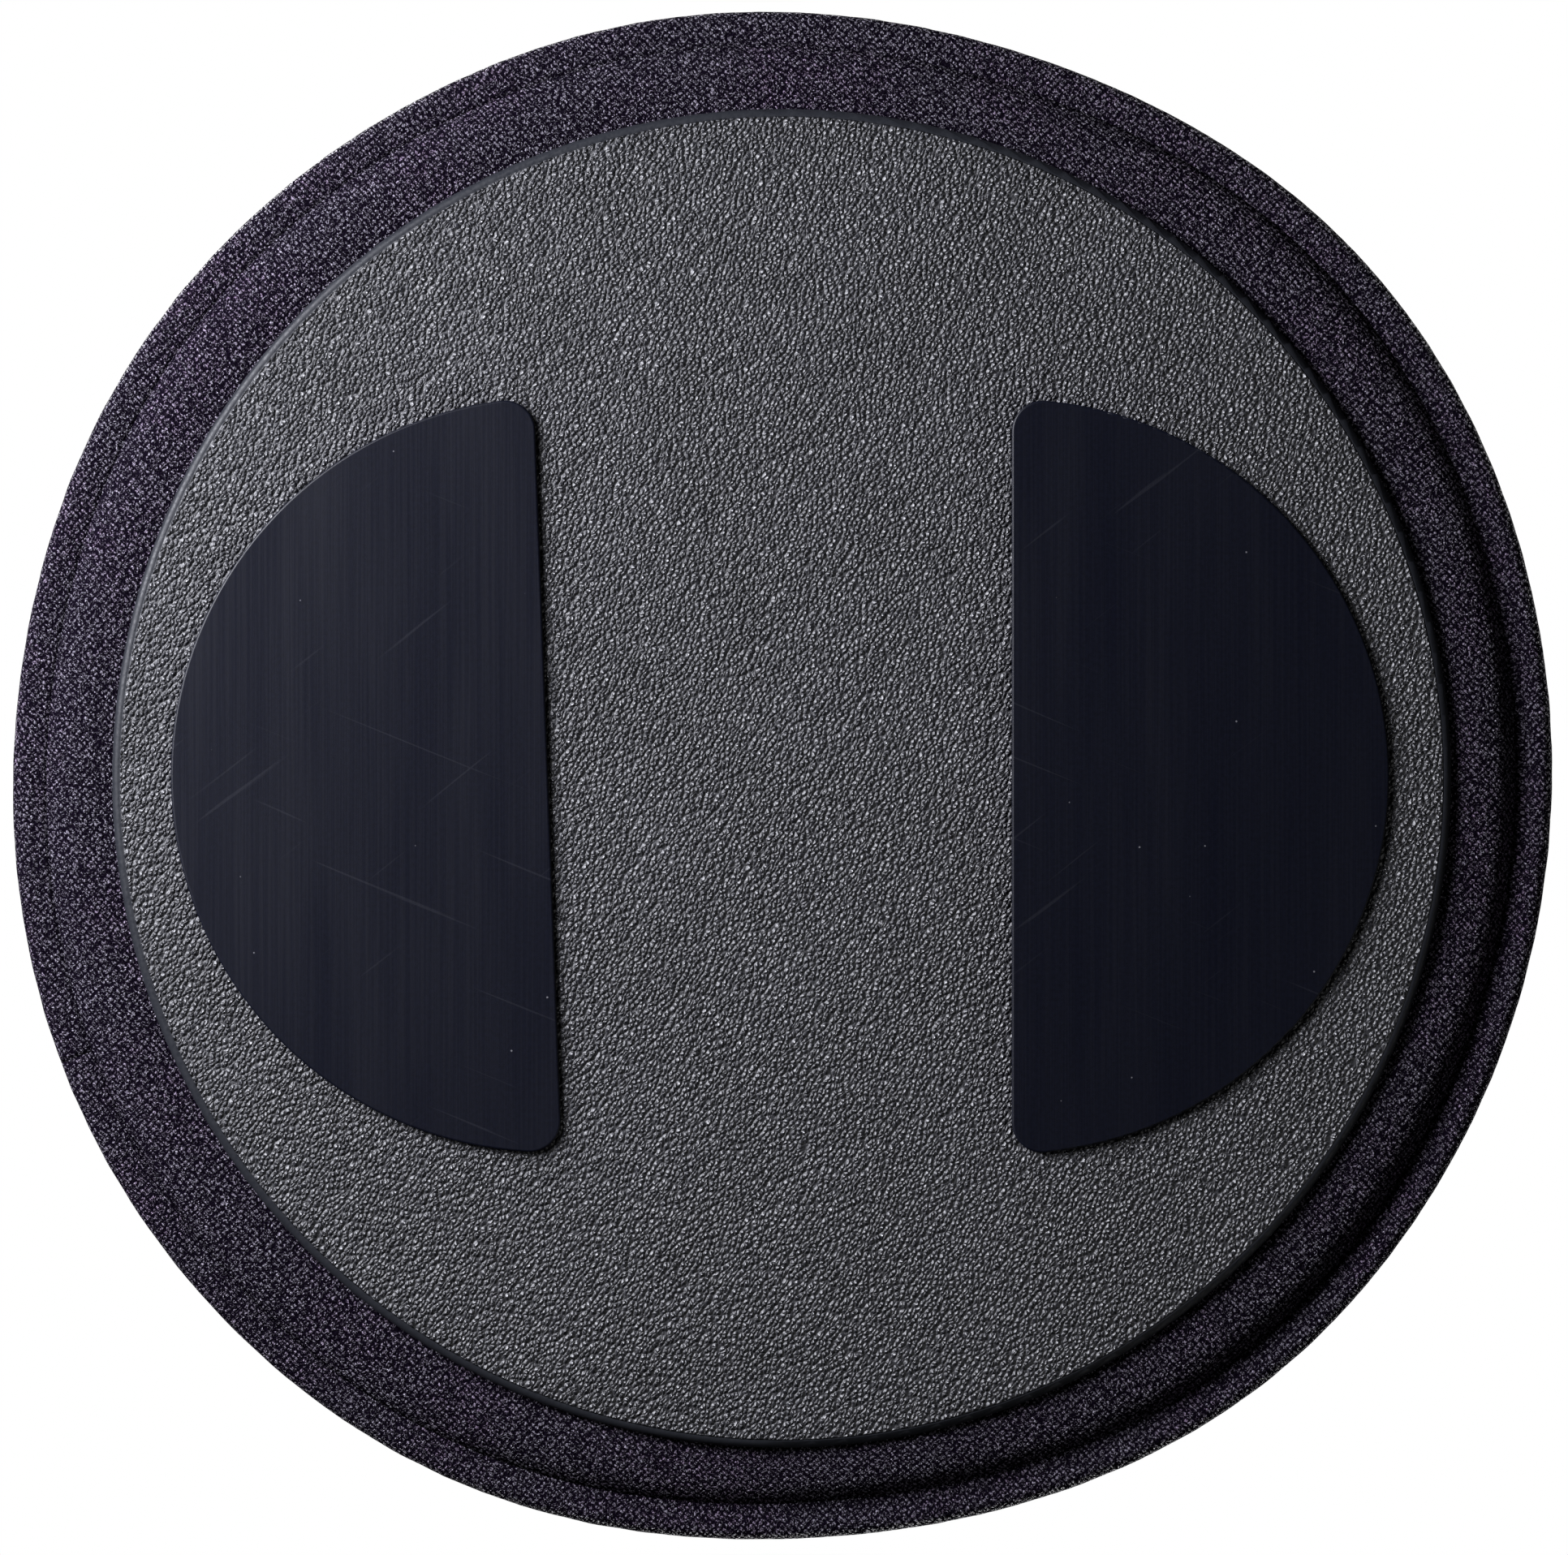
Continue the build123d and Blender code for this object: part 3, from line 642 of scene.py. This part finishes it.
def tucked(points, normals, depth, ends):
    """The rows with extra rows at each named end, where the cloth turns in towards the foam."""
    for end in ends:
        edge, before = (0, 1) if end == "start" else (-1, -2)
        back = points[before] - points[edge]
        back /= np.maximum(np.linalg.norm(back, axis=1, keepdims=True), 1e-12)
        lip = points[edge] - normals[edge] * depth * 0.06
        turned_in = points[edge] - normals[edge] * depth + back * depth * 0.06
        extra = [lip[None], turned_in[None]]
        extra_normals = [normals[edge][None]] * 2
        if end == "start":
            points = np.concatenate(extra[::-1] + [points])
            normals = np.concatenate(extra_normals + [normals])
        else:
            points = np.concatenate([points] + extra)
            normals = np.concatenate([normals] + extra_normals)
    return points, normals


def inner_layer(points, normals, ends, thick):
    """The inside of a panel. At a tucked end the cloth's thickness lies along the panel."""
    inner = points - normals * thick
    for end in ends:
        edge, before = ((1, 0), 3) if end == "start" else ((-2, -1), -4)
        back = points[before] - points[edge[0]]
        back /= np.maximum(np.linalg.norm(back, axis=1, keepdims=True), 1e-12)
        corner = 2 if end == "start" else -3
        inner[corner] = points[corner] + back * thick * 0.5 - normals[corner] * thick
        for row in edge:
            inner[row] = points[row] + back * thick - normals[row] * thick * 0.35
    return inner


def panel(name, points, normals, wrap, ends, depth, material, start, cap=False):
    """One panel of the cover with its edges turned into the seams. The weave is mapped as if the
    section were unrolled about the axis, with the panel's first row at a radius of start."""
    points, normals = tucked(points, normals, depth, ends)
    inner = inner_layer(points, normals, ends, FABRIC)
    lengths = np.linalg.norm(np.diff(points, axis=0), axis=2).mean(axis=1)
    unrolled = start + np.concatenate([[0], np.cumsum(lengths)])
    around = np.arctan2(points[:, :, 1], points[:, :, 0])
    uvs = np.stack([unrolled[:, None] * np.cos(around), unrolled[:, None] * np.sin(around)], axis=2)
    return shell(name, points, inner, wrap, material, points[:, :, :2].copy() if cap else uvs, cap)


def build_cover(material):
    """The five fabric panels."""
    rows, seams = cover_rows()
    points = cover_grid(rows, seams)
    points = settle_cloth(points, seams)
    normals = grid_normals(points)
    low, high = seams["low"], seams["high"]
    slit_low, slit_high = seams["slit_low"], seams["slit_high"]
    first, last = ZIP_FIRST_COLUMN, ZIP_LAST_COLUMN

    def part(start, end, columns=None):
        chosen = slice(None) if columns is None else columns
        return points[start:end][:, chosen], normals[start:end][:, chosen]

    front_columns = np.arange(last, first + COLUMNS + 1) % COLUMNS
    zip_columns = np.arange(first, last + 1)
    s = along(rows) + rows[0, 0]
    both = ["start", "end"]
    pieces = {}
    pieces["bottom_panel"] = panel(
        "cover_bottom_panel", *part(0, low + 1), True, ["end"], SEAM_TUCK, material, s[0]
    )
    pieces["top_panel"] = panel(
        "cover_top_panel", *part(high, len(rows)), True, ["start"], SEAM_TUCK, material, 0.0, cap=True
    )
    pieces["side_band"] = panel(
        "cover_side_band", *part(low, high + 1, front_columns), False, both, SEAM_TUCK, material, s[low]
    )
    pieces["zip_band_lower"] = panel(
        "cover_zip_band_lower", *part(low, slit_low + 1, zip_columns), False, both, SLIT_TUCK, material,
        s[low]
    )
    pieces["zip_band_upper"] = panel(
        "cover_zip_band_upper", *part(slit_high, high + 1, zip_columns), False, both, SLIT_TUCK, material,
        s[slit_high]
    )
    return pieces, points, normals, seams


# ---------------------------------------------------------------- foam and zip


def capped(name, grid, material):
    """A closed solid from a grid whose rows close round, with a flat face over each end."""
    rows, columns = grid.shape[:2]
    faces = quads(rows, columns)
    faces.append(tuple(range(columns))[::-1])
    faces.append(tuple((rows - 1) * columns + j for j in range(columns)))
    return link(name, grid.reshape(-1, 3), faces, material)


def foam_layer(name, points, normals, seams, low_z, high_z, material, on_board):
    """A foam layer that fills the cover between two heights and leaves room for the seams and zip.
    The layer on the board is hollowed out round it."""
    step = 3
    gap = 0.3 * MM
    depth = np.full(points.shape[0], FOAM_GAP)
    for seam in (seams["low"], seams["high"]):
        depth[seam - 1 : seam + 2] = FOAM_SEAM_GAP
    depth[seams["slit_low"] - 3 : seams["high"] - 1] = FOAM_ZIP_GAP
    skin = (points - normals * depth[:, None, None])[seams["clamp"] :, ::step]
    height = skin[:, :, 2].mean(axis=1)
    skin = skin[(height > low_z) & (height < high_z)]
    theta = np.arctan2(skin[0, :, 1], skin[0, :, 0])

    def circle(radius, z):
        around = [radius * np.cos(theta), radius * np.sin(theta), np.full(len(theta), z)]
        return np.stack(around, axis=1)[None]

    if on_board:
        board_low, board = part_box("stiffener_board")
        hollow = [circle(20 * MM, board.z + gap), circle(board.x + 0.8 * MM, board.z + gap)]
        hollow.append(circle(board.x + 1.6 * MM, board_low.z + 1.2 * MM))
        lid = [circle(185 * MM, high_z - gap), circle(60 * MM, high_z - gap)]
        grid = np.concatenate(hollow + [skin] + lid)
    else:
        base = [circle(60 * MM, low_z + gap), circle(184 * MM, low_z + gap)]
        grid = np.concatenate(base + [skin])
    return capped(name, grid, material)


def ring_centre(node):
    """The radius and height of the middle of a ring-shaped node's section."""
    co = np.array([v.co for v in nodes[node].data.vertices])
    radius = np.hypot(co[:, 0], co[:, 1])
    return np.array([(radius.min() + radius.max()) / 2, (co[:, 2].min() + co[:, 2].max()) / 2])


def zip_frame():
    """The middle of the closed coil, the outward direction and the direction up the band."""
    upper, lower = ring_centre("zip_coil_upper"), ring_centre("zip_coil_lower")
    up = (upper - lower) / np.linalg.norm(upper - lower)
    return (upper + lower) / 2, np.array([up[1], -up[0]]), up


def azimuths(node):
    """The first and last azimuth that a node at the back spans."""
    co = np.array([v.co for v in nodes[node].data.vertices])
    angle = np.arctan2(co[:, 1], co[:, 0])
    return angle.min(), angle.max()


def on_zip(azimuth, out, up):
    """Points on the zip: out from the middle of the coil and up the band."""
    middle, outward, upward = zip_frame()
    radius = middle[0] + zip_outline(azimuth) + out * outward[0] + up * upward[0]
    height = middle[1] + out * outward[1] + up * upward[1]
    points = [radius * np.cos(azimuth), radius * np.sin(azimuth), height + 0 * azimuth]
    return np.stack(points, axis=-1)


def tube(name, path, side, radius, material, sides=6):
    """A round wire along a path."""
    tangent = np.gradient(path, axis=0)
    tangent /= np.linalg.norm(tangent, axis=1, keepdims=True)
    across = np.cross(tangent, side)
    across /= np.linalg.norm(across, axis=1, keepdims=True)
    other = np.cross(tangent, across)
    turn = np.arange(sides) * 2 * math.pi / sides
    ring = across[:, None] * np.cos(turn)[None, :, None] + other[:, None] * np.sin(turn)[None, :, None]
    return capped(name, path[:, None] + radius * ring, material)


def build_coil(name, node, way, material):
    """One side of a nylon coil zip: a flattened helix whose heads reach past the middle to mesh."""
    first, last = azimuths(node)
    middle = zip_frame()[0]
    radius = float(middle[0])
    turns = int((last - first) * radius / COIL_PITCH)
    steps = 12
    t = np.arange(turns * steps) / steps
    azimuth = first + (t + (0.5 if way < 0 else 0)) * COIL_PITCH / radius
    half = (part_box(node)[1].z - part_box(node)[0].z) / 2 - COIL_WIRE
    offset = float(np.linalg.norm(ring_centre(node) - middle)) * way
    up = offset - way * COIL_REACH / 2 + (half + COIL_REACH / 2) * np.cos(2 * math.pi * t)
    out = COIL_BULGE * np.sin(2 * math.pi * t)
    side = np.stack([-np.sin(azimuth), np.cos(azimuth), np.zeros_like(azimuth)], axis=1)
    return tube(name, on_zip(azimuth, out, up), np.cross(side, (0, 0, 1)), COIL_WIRE, material)


def build_tape(name, node, way, material):
    """A zip tape, from the coil to under the band."""
    first, last = azimuths(node)
    azimuth = np.linspace(first, last, 260)
    ups = np.linspace(0.35 * MM, TAPE_WIDTH, 9) * way
    fall = ups**2 / (2 * TAPE_BEND)
    outer = np.stack([on_zip(azimuth, -TAPE_DEPTH - drop, up) for up, drop in zip(ups, fall)])
    inner = np.stack([on_zip(azimuth, -TAPE_DEPTH - TAPE_THICK - drop, up) for up, drop in zip(ups, fall)])
    if way < 0:
        outer, inner = outer[::-1], inner[::-1]
    uvs = np.stack(np.broadcast_arrays((azimuth * TAPE_UNROLLED)[None], np.abs(ups)[:, None]), axis=2)
    return shell(name, outer, inner, False, material, uvs)


# ---------------------------------------------------------------- stage


def area_light(name, place, target, size, power, colour=(1, 1, 1)):
    """A square soft light."""
    data = bpy.data.lights.new(name, "AREA")
    data.shape = "SQUARE"
    data.size = size
    data.energy = power
    data.color = colour
    lamp = bpy.data.objects.new(name, data)
    lamp.location = place
    lamp.rotation_euler = (Vector(target) - Vector(place)).to_track_quat("-Z", "Y").to_euler()
    lamp.visible_camera = False
    bpy.context.scene.collection.objects.link(lamp)


def build_floor():
    """A pale floor that shows only from above, so that the underside can be seen from below."""
    s = Shader("floor_paint")
    s.set(Base_Color=(0.42, 0.42, 0.415, 1), Roughness=0.7)
    s.set(Emission_Color=(1.0, 1.0, 0.99, 1), Emission_Strength=0.85)
    clear = s.node("ShaderNodeBsdfTransparent")
    back = s.node("ShaderNodeNewGeometry").outputs["Backfacing"]
    mix = s.node("ShaderNodeMixShader", {0: back, 1: s.bsdf.outputs[0], 2: clear.outputs[0]})
    s.tree.links.new(mix.outputs[0], s.tree.nodes["Material Output"].inputs["Surface"])
    half = 6.0
    level = cad_bounds[0][2] - 0.1 * MM
    corners = [(-half, -half, level), (half, -half, level), (half, half, level), (-half, half, level)]
    floor = link("floor", corners, [(0, 1, 2, 3)], s.material)
    floor.visible_shadow = False
    floor.visible_diffuse = False
    floor.visible_glossy = False


def build_world():
    """White behind the cushion, and a faint soft light all round it."""
    world = bpy.data.worlds.new("studio")
    bpy.context.scene.world = world
    world.use_nodes = True
    tree = world.node_tree
    shown = tree.nodes["Background"]
    shown.inputs["Color"].default_value = (1, 1, 1, 1)
    soft = tree.nodes.new("ShaderNodeBackground")
    soft.inputs["Color"].default_value = (0.95, 0.97, 1.0, 1)
    soft.inputs["Strength"].default_value = 0.025
    path = tree.nodes.new("ShaderNodeLightPath")
    mix = tree.nodes.new("ShaderNodeMixShader")
    tree.links.new(path.outputs["Is Camera Ray"], mix.inputs[0])
    tree.links.new(soft.outputs[0], mix.inputs[1])
    tree.links.new(shown.outputs[0], mix.inputs[2])
    tree.links.new(mix.outputs[0], tree.nodes["World Output"].inputs["Surface"])
    bpy.context.scene.view_settings.view_transform = "Standard"


def build_lights():
    """One soft key low on the left under the cushion, and a studio set above it."""
    underside, middle = (0, 0, 0), (0, 0, 0.03)
    area_light("under_key", (-0.49, -0.265, -0.33), underside, 0.40, 14.6, (0.97, 0.975, 1.06))
    area_light("under_fill", (1.0, 0.6, -0.42), underside, 0.8, 1.3)
    area_light("top_key", (-1.1, -1.3, 1.6), middle, 0.9, 60.0)
    area_light("top_fill", (1.5, -0.9, 1.2), middle, 1.2, 22.0)
    area_light("back_rim", (0.3, 1.6, 1.1), middle, 1.0, 30.0)


def build_camera():
    """Straight below the cushion, looking up, with the front at the top of the picture."""
    data = bpy.data.cameras.new("camera")
    data.sensor_width = SENSOR
    silhouette = (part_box("side_band")[0].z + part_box("side_band")[1].z) / 2
    data.lens = SENSOR * (CAMERA_DISTANCE + silhouette) / FRAME_WIDTH
    data.clip_end = 50
    camera = bpy.data.objects.new("camera", data)
    camera.location = (0.6 * MM, -0.2 * MM, -CAMERA_DISTANCE)
    camera.rotation_euler = (math.pi, 0, 0)
    bpy.context.scene.collection.objects.link(camera)
    bpy.context.scene.camera = camera


# ---------------------------------------------------------------- the whole


def dress_cover():
    """The fabric panels, each a sheet of knit stretched over the foam, standing in for the CAD cover parts,
    which are hidden."""
    # The first colour is the painted shade for the knit's gaps; yarn and the purple tint are the knit's own
    # colours.
    painted_shade, yarn = (0.0032, 0.0021, 0.0050, 1), (0.200, 0.180, 0.228, 1)
    cloth = fabric("knit_cover", painted_shade, yarn, (0.206, 0.142, 0.232, 1))
    panels, points, normals, seams = build_cover(cloth)
    for node, piece in panels.items():
        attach(piece, "cushion")
        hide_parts(node)
    return points, normals, seams


def fill_cover(points, normals, seams):
    """The two foam layers inside the cover."""
    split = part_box("comfort_foam")[0].z
    above_all = 1.0
    firm = foam("firm_foam", (0.83, 0.81, 0.74, 1), 0.8)
    soft = foam("soft_foam", (0.88, 0.84, 0.62, 1), 0.5)
    core = foam_layer("foam_core_layer", points, normals, seams, 0.0, split, firm, True)
    comfort = foam_layer("comfort_foam_layer", points, normals, seams, split, above_all, soft, False)
    for node, piece in (("foam_core", core), ("comfort_foam", comfort)):
        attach(piece, "cushion")
        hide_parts(node)


def dress_zip():
    """The zip's tapes and coils, above and below the slit."""
    tape = woven_tape("zip_tape_weave", (0.030, 0.028, 0.038, 1))
    nylon = moulded_plastic("zip_nylon", (0.020, 0.019, 0.025, 1), 0.34)
    for side, way in (("upper", 1), ("lower", -1)):
        strip = build_tape(f"zip_tape_{side}_weave", f"zip_tape_{side}", way, tape)
        coil = build_coil(f"zip_coil_{side}_wire", f"zip_coil_{side}", way, nylon)
        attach(strip, "cushion")
        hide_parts(f"zip_tape_{side}")
        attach(coil, "cushion")
        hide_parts(f"zip_coil_{side}")


def dress_cad_parts():
    """The materials of the parts that keep their CAD shape."""
    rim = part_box("base_plate")[1].x - 2.0 * MM
    rubber = grip_rubber("grip_rubber", (0.0020, 0.0025, 0.0060, 1))
    film = moulded_plastic("film", (0.75, 0.72, 0.62, 1), 0.3)
    acetal = moulded_plastic("acetal", (0.78, 0.78, 0.75, 1), 0.35)
    steel = metal("zinc_steel", (0.62, 0.63, 0.66, 1))
    enamel = metal("zip_enamel", (0.018, 0.017, 0.021, 1), 0.30, enamel=True)
    dress("base_plate", grained_plastic("haircell_plastic", (0.0165, 0.0167, 0.0205, 1), rim))
    dress("turntable_plate", moulded_plastic("black_plastic", (0.028, 0.028, 0.031, 1)))
    dress("stiffener_board", plywood("birch_ply"))
    for material, alike in (
        (rubber, ("grip_pad_left", "grip_pad_right")),
        (film, ("grip_film_left", "grip_film_right")),
        (acetal, ("glide_ring_inner", "glide_ring_outer", "hub_bush")),
        (steel, ("retaining_washer", "pivot_screw", "clamp_screws", "tee_nuts")),
        (enamel, ("zip_slider", "zip_pull", "zip_top_stops", "zip_bottom_stop")),
    ):
        for node in alike:
            dress(node, material)


fill_cover(*dress_cover())
dress_zip()
dress_cad_parts()
build_floor()
build_world()
build_lights()
build_camera()
